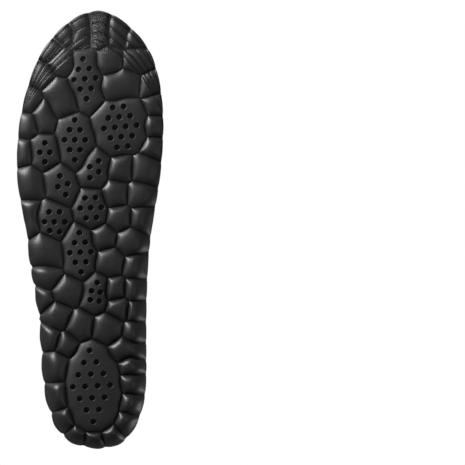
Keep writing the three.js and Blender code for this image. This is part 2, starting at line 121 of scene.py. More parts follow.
TRIM_FROM = 68.0  # the cutting lines of the toe start here
TRIM_FULL = 126.0  # and have their full pitch from here on
TRIM_PITCH = 5.8
TRIM_CUTS = [(0.24, 0.4), (0.16, 1.7)]  # depth and half width: the cut, and the flute around it

# Where a bend would start before its flex line and end after it; bend() works these out but doesn't
# use them.
# The start is close to the line, so that a cobble wouldn't dip below the floor as the toe end
# lifts.
BEND_BEFORE = 9.0
BEND_AFTER = 21.0

# Grained strip of the toe: its middle, its half width, and where it starts, in millimetres.
STRIP_X, STRIP_HALF, STRIP_FROM = -6.2, 5.2, 112
# Plain ticks on it: their middle, half length and pitch, and the first and last of them.
TICK_X, TICK_HALF, TICK_PITCH, TICK_FROM, TICK_TO = -3.1, 1.3, 3.4, 115, 135

KNIT_ACROSS, KNIT_ALONG = 6.24, 7.3  # corner to corner and side to side of a knit cell

# The stage is in metres.
FLOOR_Z = -0.0012  # a bending cobble dips up to 0.6 mm
FLOOR_HALF = 3.0
CAMERA_AT = (-0.0912, -0.0016)
CAMERA_DISTANCE = 2.2
CAMERA_CUT = 0.0003  # how far over the floor the camera, which is under it, starts to see
FRAME_WIDTH = 0.2976  # width of the picture at the height of the sole
SENSOR = 36


# ---------------------------------------------------------------- shape of the foot
def along(table, y):
    return np.interp(y, [r[0] for r in table], [r[1] for r in table])


def smooth(t):
    t = np.clip(t, 0, 1)
    return t * t * (3 - 2 * t)


def outline_points(per=8):
    """Closed outline, anticlockwise from above, on a Catmull-Rom curve."""
    p = np.array([(a, y) for y, a, _ in OUTLINE] + [(b, y) for y, _, b in OUTLINE][::-1], float)
    p0, p1, p2, p3 = (np.roll(p, s, axis=0)[:, None] for s in (1, 0, -1, -2))
    t = (np.arange(per) / per)[None, :, None]
    v0, v1 = (p2 - p0) * 0.5, (p3 - p1) * 0.5
    cubic, square = 2 * p1 - 2 * p2 + v0 + v1, -3 * p1 + 3 * p2 - 2 * v0 - v1
    return (cubic * t**3 + square * t**2 + v0 * t + p1).reshape(-1, 2)


EDGE = outline_points()
E0, E1 = EDGE, np.roll(EDGE, -1, axis=0)


def signed_depth(x, y):
    """Distance inwards from the outline, negative outside it."""
    d = E1 - E0
    dd = (d**2).sum(-1)
    out = np.empty(len(x))
    for i in range(0, len(x), 4000):
        part = slice(i, i + 4000)
        qx, qy = x[part, None] - E0[:, 0], y[part, None] - E0[:, 1]
        t = np.clip((qx * d[:, 0] + qy * d[:, 1]) / dd, 0, 1)
        near = np.sqrt(((qx - t * d[:, 0]) ** 2 + (qy - t * d[:, 1]) ** 2).min(1))
        cross = (E0[:, 1] <= y[part, None]) != (E1[:, 1] <= y[part, None])
        at = E0[:, 0] + d[:, 0] * qy / np.where(d[:, 1] == 0, 1, d[:, 1])
        inside = ((cross & (x[part, None] < at)).sum(1) % 2) == 1
        out[part] = np.where(inside, near, -near)
    return out


# The depth is worked out once on a grid and read off between its points.
CELL_MM = 0.5
GRID_X, GRID_Y = np.arange(-50, 50.1, CELL_MM), np.arange(-143, 143.1, CELL_MM)
DEPTH = signed_depth(*(g.ravel() for g in np.meshgrid(GRID_X, GRID_Y)))
DEPTH = DEPTH.reshape(len(GRID_Y), len(GRID_X))


def depth_inside(x, y):
    """Distance inwards from the outline; 0 outside it."""
    u = np.clip((np.asarray(x, float) - GRID_X[0]) / CELL_MM, 0, len(GRID_X) - 1.001)
    v = np.clip((np.asarray(y, float) - GRID_Y[0]) / CELL_MM, 0, len(GRID_Y) - 1.001)
    i, j = u.astype(int), v.astype(int)
    u, v = u - i, v - j
    low = DEPTH[j, i] * (1 - u) + DEPTH[j, i + 1] * u
    high = DEPTH[j + 1, i] * (1 - u) + DEPTH[j + 1, i + 1] * u
    return np.maximum(0, low * (1 - v) + high * v)


def span(y):
    """Smallest and largest x of the outline at each y."""
    lo, hi = [], []
    for v in np.clip(y, EDGE[:, 1].min() + 1e-3, EDGE[:, 1].max() - 1e-3):
        cross = (E0[:, 1] <= v) != (E1[:, 1] <= v)
        a, b = E0[cross], E1[cross]
        xs = a[:, 0] + (b[:, 0] - a[:, 0]) * (v - a[:, 1]) / (b[:, 1] - a[:, 1])
        lo.append(xs.min())
        hi.append(xs.max())
    return np.array(lo), np.array(hi)


SPAN_Y = np.linspace(EDGE[:, 1].min() + 0.5, EDGE[:, 1].max() - 0.5, 400)
SPAN_LO, SPAN_HI = span(SPAN_Y)


def inner_share(x, y):
    """1 at the inner edge of the foot, 0 at the outer edge."""
    a, b = np.interp(y, SPAN_Y, SPAN_LO), np.interp(y, SPAN_Y, SPAN_HI)
    return smooth(0.5 - (x - (a + b) / 2) / np.maximum(1, (b - a) / 2))


def mixed(inner, outer, x, y):
    m = inner_share(x, y)
    return along(inner, y) * m + along(outer, y) * (1 - m)


def top_z(x, y):
    """Height of the cover: the bed and the cup around it."""
    cup = np.maximum(0, 1 - depth_inside(x, y) / CUP_WIDTH)
    return along(BED, y) + mixed(RIM_IN, RIM_OUT, x, y) * cup**2


def sole_z(x, y):
    """Height that the tops of the cobbles reach."""
    curl = np.maximum(0, 1 - depth_inside(x, y) / EDGE_WIDTH)
    return mixed(LIFT_IN, LIFT_OUT, x, y) * curl**2


def groove_z(x, y):
    """Height of the moulding's underside between the cobbles."""
    return sole_z(x, y) + along(GROOVE_DEPTH, y)


# ---------------------------------------------------------------- cells of the sole
CELLS = COBBLES + [p[1] for p in PADS]
CIRCLES = np.array([c for circles in CELLS for c in circles], float)
OWNER = np.repeat(np.arange(len(CELLS)), [len(circles) for circles in CELLS])


def power(k, x, y):
    """Power distance of points to cell k, and the centre that it is measured from."""
    circles = CIRCLES[OWNER == k]
    d = [(r * r - (x - cx) ** 2 - (y - cy) ** 2) / MELT for cx, cy, r in circles]
    if len(d) == 1:
        return -MELT * d[0], circles[0, 0], circles[0, 1]
    total = np.logaddexp.reduce(d, axis=0)
    w = np.exp(np.array(d) - total)
    return -MELT * total, circles[:, 0] @ w, circles[:, 1] @ w


def neighbours(k):
    """Cells near enough to share a border with cell k."""
    mine, cells = CIRCLES[OWNER == k], []
    for other in range(len(CELLS)):
        theirs = CIRCLES[OWNER == other]
        apart = np.hypot(*(mine[:, None, :2] - theirs[None, :, :2]).T).T
        if other != k and (apart - mine[:, None, 2] - theirs[None, :, 2]).min() < 16:
            cells.append(other)
    return cells


def border_distances(k, x, y):
    """Distance from points of cell k to its border with each cell near it."""
    p, cx, cy = power(k, x, y)
    rows = []
    for other in neighbours(k):
        q, ox, oy = power(other, x, y)
        rows.append((q - p) / (2 * np.hypot(ox - cx, oy - cy)))
    return np.stack(rows, -1)


def soft_depth(k, x, y):
    """Depth inside cell k's border, eased where borders meet, so that domes have no creases."""
    d = np.maximum(border_distances(k, x, y), 1e-3)
    edge = depth_inside(x, y) + EDGE_EXTRA
    return ((d**-2.0).sum(1) + edge**-2.0) ** -0.5


FAR = 1e9


class Cell:
    """Outline of cell k on rays from its middle."""

    def __init__(self, k):
        mine = CIRCLES[OWNER == k]
        self.k = k
        self.x, self.y = mine[:, 0].mean(), mine[:, 1].mean()
        plain, fine = ((120, 168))
        self.rays = fine if self.y > TRIM_FROM else plain
        self.angle = 2 * np.pi * np.arange(self.rays) / self.rays
        self.dx, self.dy = np.cos(self.angle), np.sin(self.angle)
        to_border, to_outline = self.border_reach(), self.outline_reach()
        self.open = to_outline < to_border  # rays that end at the outline
        self.reach = np.minimum(to_border, to_outline)
        self.size = max(soft_depth(k, *self.at(rho)).max() for rho in (0.2, 0.45))
        side = border_distances(k, *self.at(1.0)).min(1)
        self.side = np.maximum(side, 0)  # along the outline, to the nearest neighbour

    def border_reach(self):
        """Length of each ray up to the border with another cell, found by steps."""
        step = 0.3
        r = np.arange(0.6, 34, step)
        x, y = self.x + r[:, None] * self.dx, self.y + r[:, None] * self.dy
        d = border_distances(self.k, x.ravel(), y.ravel()).min(1).reshape(x.shape)
        first = (d < 0).argmax(0)
        i = np.arange(self.rays)
        before, after = d[first - 1, i], d[first, i]
        reach = r[first - 1] + step * before / np.where(first, before - after, 1) - GROOVE / 2
        reach[first == 0] = FAR
        return reach

    def outline_reach(self):
        """Length of each ray up to the outline of the foot."""
        ex, ey = E0[:, 0] - self.x, E0[:, 1] - self.y
        gx, gy = E1[:, 0] - E0[:, 0], E1[:, 1] - E0[:, 1]
        det = self.dx[:, None] * gy - self.dy[:, None] * gx
        det = np.where(np.abs(det) < 1e-12, 1e-12, det)
        t = (ex * gy - ey * gx) / det
        u = (ex * self.dy[:, None] - ey * self.dx[:, None]) / det
        return np.where((t > 0) & (u >= 0) & (u <= 1), t, FAR).min(1)

    def at(self, rho):
        """Points at the share rho of every ray."""
        return self.x + rho * self.reach * self.dx, self.y + rho * self.reach * self.dy

    def inward(self, mm):
        """Points this far inside the end of every ray."""
        return self.at(np.maximum(0.3, 1 - mm / self.reach))


def trim_coordinates(x, y):
    """Count of cutting lines passed, millimetres between them, and their strength."""
    grow = smooth((y - TRIM_FROM) / (TRIM_FULL - TRIM_FROM))
    u = depth_inside(x, y) / np.maximum(grow, 0.02)
    strong = smooth(grow / 0.2) * smooth((u - 0.5) / 0.8) * smooth((21.5 - u) / 1.6)
    return (np.clip((u - 1.9) / TRIM_PITCH, -1, 9), TRIM_PITCH * grow), strong


def trim(x, y):
    """How far each point is from the nearest cutting line, and how strong that line is."""
    (count, pitch), strong = trim_coordinates(x, y)
    return np.abs(count - np.round(count)) * pitch, strong


def dome_height(cell, x, y, flat):
    """Height of the underside of a cobble, or of a flat pad, at points of its cell."""
    s = soft_depth(cell.k, x, y)
    deep = along(CREASE_DEPTH, y)
    t = np.clip(s / cell.size, 0, 1)
    dome = 1 - (1 - t) ** DOME
    if flat:
        plateau = 1 - (1 - np.clip(s / 2.0, 0, 1)) ** 2
        dome = PAD_DOME * dome + (1 - PAD_DOME) * plateau
    border = 1 - np.clip(s / BORDER_R, 0, 1)
    drop = BORDER_DROP * (1 - np.sqrt(np.maximum(0, 1 - border**2)))
    to, strong = trim(x, y)
    cut = strong * sum(depth * np.exp(-((to / half) ** 2)) for depth, half in TRIM_CUTS)
    return sole_z(x, y) + deep * (1 - dome) + drop + cut


class Shell:
    """Vertices and faces gathered for one mesh, in millimetres."""

    def __init__(self):
        self.co, self.faces, self.kind, self.count = [], [], [], 0

    def add(self, x, y, z):
        co = np.stack([np.ravel(x), np.ravel(y), np.ravel(z)], -1)
        start, self.count = self.count, self.count + len(co)
        self.co.append(co)
        return start + np.arange(len(co)).reshape(np.shape(x))

    def many(self, corners, kind=0):
        corners = np.asarray(corners)
        self.faces += corners.tolist()
        self.kind += [kind] * len(corners)

    def strip(self, a, b, kind=0):
        """Quads between two closed rings; b is outside a, or above it on an outer wall."""
        self.many(np.stack([a, np.roll(a, -1), np.roll(b, -1), b], -1), kind)

    def fan(self, middle, ring, kind=0):
        self.many(np.stack([np.full(len(ring), middle), np.roll(ring, -1), ring], -1), kind)


def cell_wall(shell, cell, ring, z):
    """From the border ring up to the moulding: a lobe where the cell ends at the outline."""
    open_ = cell.open
    x, y = cell.at(1.0)
    inset = np.minimum(0.5, 0.3 * cell.reach)
    ix, iy = x - inset * cell.dx, y - inset * cell.dy
    inner = groove_z(ix, iy) + 1.2
    rim = top_z(ix, iy) - COVER - FOAM - LIP + 0.5
    goal = np.where(open_, np.maximum(rim, z + 0.3), np.maximum(inner, z + 0.4))
    bulge = open_ * lobe_bulge(x, y) * (1 - np.exp(-cell.side / 2.2))
    crease = open_ * 0.9 * np.clip(1 - cell.side / 2.0, 0, 1) ** 1.5
    for t in np.linspace(0, 1, 12)[1:]:
        swell = bulge * math.sin(math.pi * min(1, 1.25 * t) ** 0.8) - crease * (1 - t**4)
        out = np.where(open_, swell - 0.35 * t**4, -0.4 * t)
        new = shell.add(x + out * cell.dx, y + out * cell.dy, z + (goal - z) * t)
        shell.strip(ring, new)
        ring = new
    middle = shell.add(cell.x, cell.y, groove_z(cell.x, cell.y) + 1.2)
    shell.fan(middle, ring[::-1])


def lobe_bulge(x, y):
    """How far the side lobes stand out: most on the outer side and round the heel."""
    outer = smooth((x - 2) / 20)
    return 0.35 + 1.0 * outer * smooth((2 - y) / 30) + 0.4 * smooth((-118 - y) / 10)


def cobble(shell, cell):
    """A domed cobble: rings from its middle to its border, and its wall."""
    plain, fine = ((24, 38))
    rings = plain if cell.y < TRIM_FROM else fine
    rho = np.linspace(0, 1, rings + 1)[1:-1]
    rho = rho * (1 - 0.25 * (rho - 1) * rho)  # a little closer together near the border
    grid = [cell.at(r) for r in rho if r < 0.985] + [cell.inward(d) for d in (0.3, 0.15, 0.05, 0)]
    reach = [np.hypot(x - cell.x, y - cell.y) for x, y in grid]
    for i in range(len(grid) - 2, -1, -1):  # keep every ring inside the next one
        keep = np.minimum(reach[i], 0.985 * reach[i + 1])
        reach[i] = keep
        grid[i] = (cell.x + keep * cell.dx, cell.y + keep * cell.dy)
    x, y = np.array([g[0] for g in grid]), np.array([g[1] for g in grid])
    z = dome_height(cell, x.ravel(), y.ravel(), False).reshape(x.shape)
    ids = shell.add(x, y, z)
    at = np.array([cell.x]), np.array([cell.y])
    middle = shell.add(*at, dome_height(cell, *at, False))[0]
    shell.fan(middle, ids[0])
    for a, b in zip(ids, ids[1:]):
        shell.strip(a, b)
    cell_wall(shell, cell, ids[-1], z[-1])


def hole_centres(at, rows, pitch, turn):
    """Middles of the holes, row by row from the toe end."""
    a = math.radians(turn)
    for row, count in enumerate(rows):
        v = ((len(rows) - 1) / 2 - row) * pitch[1]
        for k in range(count):
            u = (k - (count - 1) / 2) * pitch[0]
            yield (at[0] + u * math.cos(a) - v * math.sin(a),
                   at[1] + u * math.sin(a) + v * math.cos(a))


def clear_holes(cell, x, y, holes):
    """The holes, moved inwards where they come too near to the ring x, y."""
    free = []
    for hx, hy in holes:
        for _ in range(6):
            i = np.hypot(x - hx, y - hy).argmin()
            gap = math.hypot(x[i] - hx, y[i] - hy) - HOLE_R - HOLE_MARGIN
            if gap < 0:
                way = math.hypot(cell.x - hx, cell.y - hy)
                hx += (cell.x - hx) / way * min(0.2, -gap)
                hy += (cell.y - hy) / way * min(0.2, -gap)
        free.append((hx, hy))
    return free


def face_points(cell, x, y, holes):
    """Staggered points over a pad's face, inside the ring x, y and clear of the holes."""
    step = 1.0
    gx, gy = np.meshgrid(np.arange(-30, 30, step), np.arange(-36, 36, step))
    gx = gx + (np.arange(gx.shape[0]) % 2)[:, None] * step / 2
    gx, gy = gx.ravel() + cell.x, gy.ravel() + cell.y
    around = np.append(cell.angle, 2 * np.pi)
    limit = np.interp(np.arctan2(gy - cell.y, gx - cell.x) % (2 * np.pi), around,
                      np.append(cell.reach, cell.reach[0]))
    keep = np.hypot(gx - cell.x, gy - cell.y) < limit - 1.9
    keep &= np.hypot(gx[:, None] - x, gy[:, None] - y).min(1) > 0.6 * step
    for hx, hy in holes:
        keep &= np.hypot(gx - hx, gy - hy) > MOUTH_RINGS[0] + 0.5 * step
    return [Vector(p) for p in zip(gx[keep], gy[keep])]


def pad(shell, cell, holes):
    """A flat perforated pad: rounded border rings, a triangulated face and real holes."""
    grid = [cell.inward(d) for d in PAD_RINGS]
    x, y = np.array([g[0] for g in grid]), np.array([g[1] for g in grid])
    z = dome_height(cell, x.ravel(), y.ravel(), True).reshape(x.shape)
    ids = shell.add(x, y, z)
    for a, b in zip(ids, ids[1:]):
        shell.strip(a, b)
    cell_wall(shell, cell, ids[-1], z[-1])
    holes = clear_holes(cell, x[0], y[0], holes)
    n = 28
    b = 2 * np.pi * np.arange(n) / n
    points = [Vector(p) for p in zip(x[0], y[0])]
    edges = [(i, (i + 1) % cell.rays) for i in range(cell.rays)]
    mouths = []
    for hx, hy in holes:
        for r in MOUTH_RINGS:
            points += [Vector((hx + r * math.cos(t), hy + r * math.sin(t))) for t in b]
        start = len(points)
        points += [Vector((hx + HOLE_R * math.cos(t), hy + HOLE_R * math.sin(t))) for t in b]
        edges += [(start + i, start + (i + 1) % n) for i in range(n)]
        mouths.append(start)
    points += face_points(cell, x[0], y[0], holes)
    verts, _, tris, source, _, _ = delaunay_2d_cdt(points, edges, [], 1, 1e-6)
    v = np.array([tuple(p) for p in verts])
    height = dome_height(cell, v[:, 0], v[:, 1], True)
    for hx, hy in holes:
        h = np.hypot(v[:, 0] - hx, v[:, 1] - hy)
        height += MOUTH * np.clip((HOLE_R + MOUTH - h) / MOUTH, 0, 1) ** 2
        height -= 0.07 * np.exp(-(((h - HOLE_R - 0.5) / 0.3) ** 2))
    index = {i: k for k, inputs in enumerate(source) for i in inputs}
    face = shell.add(v[:, 0], v[:, 1], height)
    for i in range(cell.rays):  # the border loop is shared with the innermost ring
        face[index[i]] = ids[0, i]
    t = np.array([list(f) for f in tris])
    m = v[t].mean(1)
    solid = np.ones(len(t), bool)
    for hx, hy in holes:
        solid &= np.hypot(m[:, 0] - hx, m[:, 1] - hy) > HOLE_R * 0.93
    t = t[solid]
    p, q = v[t[:, 1]] - v[t[:, 0]], v[t[:, 2]] - v[t[:, 0]]
    turned = p[:, 0] * q[:, 1] - p[:, 1] * q[:, 0] > 0
    t[turned] = t[turned][:, ::-1]
    shell.many(face[t], 1)
    # each hole's walls and floor take the third material, painted near-black as painted shade
    for (hx, hy), start in zip(holes, mouths):
        px, py = hx + HOLE_R * np.cos(b), hy + HOLE_R * np.sin(b)
        ring = np.array([face[index[start + i]] for i in range(n)])
        base = float(sole_z(np.array([hx]), np.array([hy]))[0])
        for h in (0.9, HOLE_DEPTH):
            new = shell.add(px, py, np.full(n, base + 0.3 + h))
            shell.strip(new, ring, 2)
            ring = new
        shell.many([ring.tolist()], 2)


# ---------------------------------------------------------------- meshes to objects
def point_vectors(mesh, name, values):
    attribute = mesh.attributes.new(name, "FLOAT_VECTOR", "POINT")
    attribute.data.foreach_set("vector", values.astype(np.float32).ravel())


def make_object(name, co, faces, kinds, materials, weave=None):
    """A smooth object. co and weave are in millimetres; kinds picks each face's material."""
    mesh = bpy.data.meshes.new(name)
    mesh.from_pydata([tuple(c) for c in co * MM], [], faces)
    mesh.polygons.foreach_set("use_smooth", np.ones(len(faces), bool))
    mesh.polygons.foreach_set("material_index", np.array(kinds, np.int32))
    for m in materials:
        mesh.materials.append(m)
    point_vectors(mesh, "rest", co * MM)
    line, strength = trim_coordinates(co[:, 0], co[:, 1])
    point_vectors(mesh, "size_line", np.stack([*line, strength], -1))
    if weave is not None:
        point_vectors(mesh, "weave", weave * MM)
    mesh.validate()
    mesh.update()
    obj = bpy.data.objects.new(name, mesh)
    bpy.context.scene.collection.objects.link(obj)
    return obj


def bend(obj, k):
    """Bakes the piece's transform. lo and hi, where its turn over flex line k would start and end,
    are worked out but not used.
    """
    lo = max(MEETS[k], HINGES[k] - BEND_BEFORE)
    hi = min(MEETS[k + 1], HINGES[k] + BEND_AFTER)
    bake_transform(obj)


ROWS = 200


def sheet_rows():
    """Rows across the foot, close together at both ends, with one on each meeting line."""
    low, high = EDGE[:, 1].min(), EDGE[:, 1].max()
    v = np.linspace(0, 1, ROWS)
    y = low + (high - low) * (1 - np.cos(np.pi * v)) / 2
    for m in MEETS[1:-1]:
        y[np.argmin(np.abs(y - m))] = m
    return y[1:-1]


def sheet_grid(inset):
    """Points across the foot on every row, this far inside the outline."""
    y = sheet_rows()
    past = np.abs(y) - 125  # the ends are squeezed, so that they keep the inset too
    yy = np.where(past > 0, np.sign(y) * (125 + past * (1 - inset / 15.0)), y)
    offsets = np.array([0, 0.12, 0.35, 0.7, 1.1, 1.7, 2.6, 3.8, 5.2, 7, 9, 11.5, 14.5, 18])
    a, b = span(y)
    x = []
    for lo, hi in zip(a, b):
        half = (hi - lo) / 2
        k = min(inset, half * 0.6)
        half -= k
        fit = min(1, half / 22)
        left = lo + k + offsets * fit
        mid = np.linspace(left[-1], hi - k - offsets[-1] * fit, 15)[1:-1]
        x.append(np.concatenate([left, mid, (hi - k - offsets * fit)[::-1]]))
    return np.array(x), np.repeat(yy[:, None], len(x[0]), 1)


def sharpen(mesh, rows):
    """The edges along these rows of vertices stay sharp, so a cut doesn't show as a ridge."""
    row_of = np.full(len(mesh.vertices), -1)
    for i, row in enumerate(rows):
        row_of[row] = i
    edges = np.zeros(len(mesh.edges) * 2, np.int32)
    mesh.edges.foreach_get("vertices", edges)
    a, b = row_of[edges.reshape(-1, 2)].T
    mesh.edges.foreach_set("use_edge_sharp", (a == b) & (a >= 0))


def layer_pieces(prefix, inset, top, bottom, materials, rounding, kind_side=0,
                 kind_under=0, flank=0.0, ends=False):
    """The layer cut at the meeting lines into one piece per flex line. ends closes the cuts."""
    x, y = sheet_grid(inset)
    s = depth_inside(x, y) - inset
    drop = np.zeros_like(s)
    if rounding:
        c = np.clip(rounding - s, 0, rounding)
        drop = rounding - np.sqrt(np.maximum(0, rounding**2 - c**2))
    fx, fy = sheet_grid(inset + flank)
    up, down = top(x, y) - drop, bottom(fx, fy)
    arc = np.zeros_like(x)
    seg = np.hypot(np.diff(x, axis=1), np.diff(up + drop, axis=1))
    arc[:, 1:] = np.cumsum(seg, axis=1)
    mid = arc[:, arc.shape[1] // 2][:, None]
    centre = x[:, x.shape[1] // 2][:, None]
    arc = arc - mid + centre
    pieces = []
    for k in range(len(HINGES)):
        rows = np.where((y[:, 0] >= MEETS[k] - 1e-6) & (y[:, 0] <= MEETS[k + 1] + 1e-6))[0]
        n, m = len(rows), x.shape[1]
        co = np.concatenate([
            np.stack([x[rows], y[rows], up[rows]], -1).reshape(-1, 3),
            np.stack([x[rows], y[rows], down[rows]], -1).reshape(-1, 3),
        ])
        weave = np.stack([arc[rows], y[rows], np.zeros((n, m))], -1).reshape(-1, 3)
        weave = np.concatenate([weave, weave])
        t = np.arange(n * m).reshape(n, m)
        u = t + n * m
        faces, kinds = [], []
        if flank:
            co[n * m:, :2] = np.stack([fx[rows], fy[rows]], -1).reshape(-1, 2)
            rim = np.concatenate([t[:, 0], t[:, -1]])
            lip = co[rim] - (0, 0, LIP + 0.3)
            co = np.concatenate([co, lip])
            weave = np.concatenate([weave, weave[rim]])
            e = len(co) - 2 * n + np.arange(2 * n).reshape(2, n)

        def quads(p, q, r, w, kind):
            for f in zip(p.ravel(), q.ravel(), r.ravel(), w.ravel()):
                faces.append(tuple(int(i) for i in f))
                kinds.append(kind)

        quads(t[:-1, :-1], t[:-1, 1:], t[1:, 1:], t[1:, :-1], 0)
        quads(u[:-1, :-1], u[1:, :-1], u[1:, 1:], u[:-1, 1:], kind_under)
        walls = [(t[:, 0], u[:, 0]), (u[:, -1], t[:, -1])]
        if flank:
            walls = [(t[:, 0], e[0]), (e[0], u[:, 0]), (e[1], t[:, -1]), (u[:, -1], e[1])]
        for p, q in walls:
            quads(p[:-1], p[1:], q[1:], q[:-1], kind_side)
        if k == 0 or ends:
            quads(t[0, 1:], t[0, :-1], u[0, :-1], u[0, 1:], kind_side)
        if k == len(HINGES) - 1 or ends:
            quads(t[-1, :-1], t[-1, 1:], u[-1, 1:], u[-1, :-1], kind_side)
        obj = make_object(f"{prefix}_{SEGMENTS[k]}_{SEGMENTS[k + 1]}", co, faces, kinds,
                          materials, weave)
        if ends:
            sharpen(obj.data, [t[0], u[0], t[-1], u[-1]])
        pieces.append(obj)
    return pieces


# ---------------------------------------------------------------- materials
class Nodes:
    """Short ways to build the node tree of a material or a world."""

    def __init__(self, owner):
        owner.use_nodes = True
        self.owner = owner
        self.tree = owner.node_tree
        self.bsdf = self.tree.nodes.get("Principled BSDF")

    def new(self, kind):
        return self.tree.nodes.new(kind)

    def link(self, a, b):
        self.tree.links.new(a, b)

    def put(self, socket, value):
        if hasattr(value, "links"):
            self.link(value, socket)
        else:
            socket.default_value = value

    def split(self, vector):
        n = self.new("ShaderNodeSeparateXYZ")
        self.link(vector, n.inputs[0])
        return n.outputs

    def math(self, op, a, b=0.0, c=0.0):
        n = self.new("ShaderNodeMath")
        n.operation = op
        for i, v in enumerate((a, b, c)):
            self.put(n.inputs[i], v)
        return n.outputs[0]

    def attribute(self, name):
        n = self.new("ShaderNodeAttribute")
        n.attribute_name = name
        return n.outputs["Vector"]

    def noise(self, vector, scale, detail=2.0, rough=0.5):
        n = self.new("ShaderNodeTexNoise")
        self.link(vector, n.inputs["Vector"])
        n.inputs["Scale"].default_value = scale
        n.inputs["Detail"].default_value = detail
        n.inputs["Roughness"].default_value = rough
        return n.outputs["Fac"]

    def ramp(self, value, lo, hi, a, b):
        n = self.new("ShaderNodeMapRange")
        self.put(n.inputs["Value"], value)
        for key, v in (("From Min", lo), ("From Max", hi), ("To Min", a), ("To Max", b)):
            self.put(n.inputs[key], v)
        return n.outputs[0]

    def mix(self, fac, a, b):
        n = self.new("ShaderNodeMix")
        n.data_type = "RGBA"
        self.put(n.inputs[0], fac)
        for i, v in ((6, a), (7, b)):
            self.put(n.inputs[i], v if hasattr(v, "links") else (*v, 1.0))
        return n.outputs[2]

    def bump(self, height, distance, strength=1.0, normal=None):
        n = self.new("ShaderNodeBump")
        n.inputs["Strength"].default_value = strength
        n.inputs["Distance"].default_value = distance
        self.link(height, n.inputs["Height"])
        if normal is not None:
            self.link(normal, n.inputs["Normal"])
        return n.outputs[0]


def grey(v, tint=0.0):
    return (v, v, v * (1 + tint))


def moulded(name, dark, light, rough_lo, rough_hi, grain_scale, grain, specular, lines=False):
    """Foam moulding: cloudy grey, a fine grain, and the marks of the toe when lines is set."""
    m = Nodes(bpy.data.materials.new(name))
    rest = m.attribute("rest")
    cloud = m.noise(rest, 45, 3)
    fine = m.noise(rest, grain_scale, 2, 0.6)
    patch = m.noise(rest, 14, 2)
    tone = m.ramp(cloud, 0.3, 0.7, 0, 1)
    colour = m.mix(tone, grey(dark), grey(light, 0.02))
    colour = m.mix(m.ramp(fine, 0.35, 0.75, 0, 0.35), colour, grey(light * 1.6))
    m.link(colour, m.bsdf.inputs["Base Color"])
    rough = m.math("ADD", m.ramp(patch, 0.3, 0.7, rough_lo, rough_hi),
                   m.ramp(fine, 0.3, 0.7, -0.03, 0.05))
    m.link(rough, m.bsdf.inputs["Roughness"])
    b1 = m.bump(fine, grain, 1.0)
    b2 = m.bump(cloud, grain * 3, 0.6, b1)
    m.bsdf.inputs["Specular IOR Level"].default_value = specular
    if not lines:
        m.link(b2, m.bsdf.inputs["Normal"])
        return m.owner
    # cutting lines of the toe: two fine cuts side by side, painted dark inside as painted shade
    count, pitch, strong = m.split(m.attribute("size_line"))
    away = m.math("ABSOLUTE", m.math("SUBTRACT", count, m.math("ROUND", count)))
    away = m.math("MULTIPLY", away, pitch)
    first = m.ramp(away, 0.12, 0.3, 1, 0)
    second = m.ramp(m.math("ABSOLUTE", m.math("SUBTRACT", away, 0.95)), 0.08, 0.22, 0.5, 0)
    cut = m.math("MULTIPLY", m.math("MAXIMUM", first, second), strong)
    # grained strip in the middle of the toe, with plain ticks along its outer side
    px, py = (m.math("MULTIPLY", v, 1000) for v in m.split(rest)[:2])
    off_strip = m.math("ABSOLUTE", m.math("SUBTRACT", px, STRIP_X))
    in_strip = m.math("MULTIPLY", m.ramp(off_strip, STRIP_HALF, STRIP_HALF + 0.7, 1, 0),
                      m.ramp(py, STRIP_FROM, STRIP_FROM + 3, 0, 1))
    pebble = m.new("ShaderNodeTexVoronoi")
    pebble.inputs["Scale"].default_value = 1400
    m.link(rest, pebble.inputs["Vector"])
    row = m.math("SUBTRACT", m.math("FRACT", m.math("DIVIDE", py, TICK_PITCH)), 0.5)
    off_tick = m.math("ABSOLUTE", m.math("SUBTRACT", px, TICK_X))
    tick = m.math("MULTIPLY", m.ramp(m.math("ABSOLUTE", row), 0.13, 0.2, 1, 0),
                  m.ramp(off_tick, TICK_HALF, TICK_HALF + 0.4, 1, 0))
    ends = m.math("MULTIPLY", m.ramp(py, TICK_FROM, TICK_FROM + 1, 0, 1),
                  m.ramp(py, TICK_TO - 1, TICK_TO, 1, 0))
    tick = m.math("MULTIPLY", tick, ends)
    relief = m.math("MULTIPLY", m.math("SUBTRACT", 1.0, pebble.outputs["Distance"]), in_strip)
    b3 = m.bump(relief, 0.0004, 1.0, b2)
    b4 = m.bump(tick, 0.0004, 1.0, b3)
    m.link(m.bump(m.math("SUBTRACT", 1.0, cut), 0.00035, 1.0, b4), m.bsdf.inputs["Normal"])
    # the cuts painted near-black: painted shade inside the cuts
    cut_painted_shade = m.mix(m.math("MULTIPLY", cut, 0.75), colour, grey(0.0015))
    # the plain ticks painted pale grey: a painted highlight on their smooth faces
    colour = m.mix(m.math("MULTIPLY", tick, 0.6), cut_painted_shade, grey(0.14))
    m.link(colour, m.bsdf.inputs["Base Color"])
    return m.owner


def build_materials():
    return {
        "cushion": moulded("cushion_skin", 0.008, 0.013, 0.37, 0.45, 900, 0.00002, 0.5,
                           lines=True),
        "pad": moulded("pad_face", 0.006, 0.0135, 0.43, 0.6, 1500, 0.00011, 0.47),
        # the walls and floors of the holes painted near-black: painted shade inside the holes
        "hole": moulded("hole_wall_painted_shade", 0.0015, 0.003, 0.8, 0.9, 1500, 0.00005, 0.1),
        "foam": moulded("foam_edge", 0.007, 0.014, 0.8, 0.9, 2200, 0.00015, 0.15),
        "cover": knit_material(),
    }


